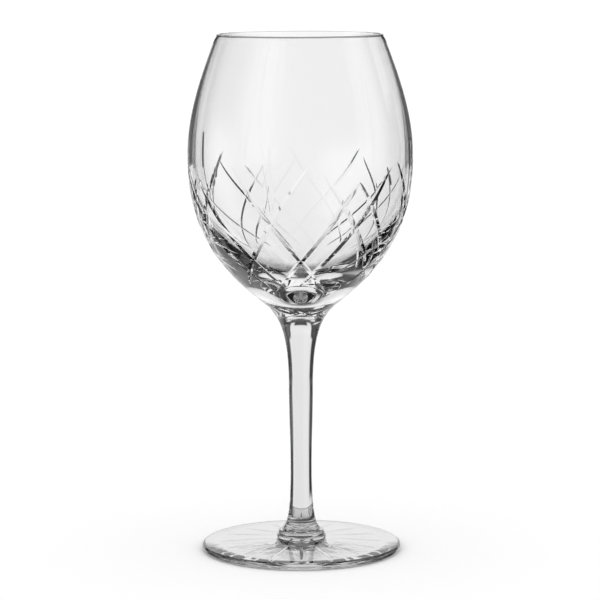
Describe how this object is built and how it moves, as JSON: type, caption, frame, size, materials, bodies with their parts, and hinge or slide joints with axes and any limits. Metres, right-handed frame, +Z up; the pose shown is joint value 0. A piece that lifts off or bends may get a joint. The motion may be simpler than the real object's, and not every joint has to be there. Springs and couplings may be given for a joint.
{
  "type": "red wine glass",
  "caption": "Stemmed red wine glass in clear cut crystal: egg-shaped bowl with crossing mitre cuts, slim flared stem and a round star-cut foot.",
  "frame": {"origin": "centre of the ring that the foot rests on, on the table's surface", "axes": "+Z up the stem to the rim, -Y towards the viewer of the picture, +X to the viewer's right"},
  "size_m": [0.0952, 0.0952, 0.22],
  "materials": {
    "bowl_crystal": "clear blown crystal, fire-polished, with polished mitre cuts",
    "stem_crystal": "clear drawn crystal, fire-polished",
    "foot_crystal": "clear pressed crystal, fire-polished, star cut underneath"
  },
  "bodies": {
    "root": {"bowl": "bowl_crystal", "stem": "stem_crystal", "foot": "foot_crystal"}
  },
  "joints": []
}
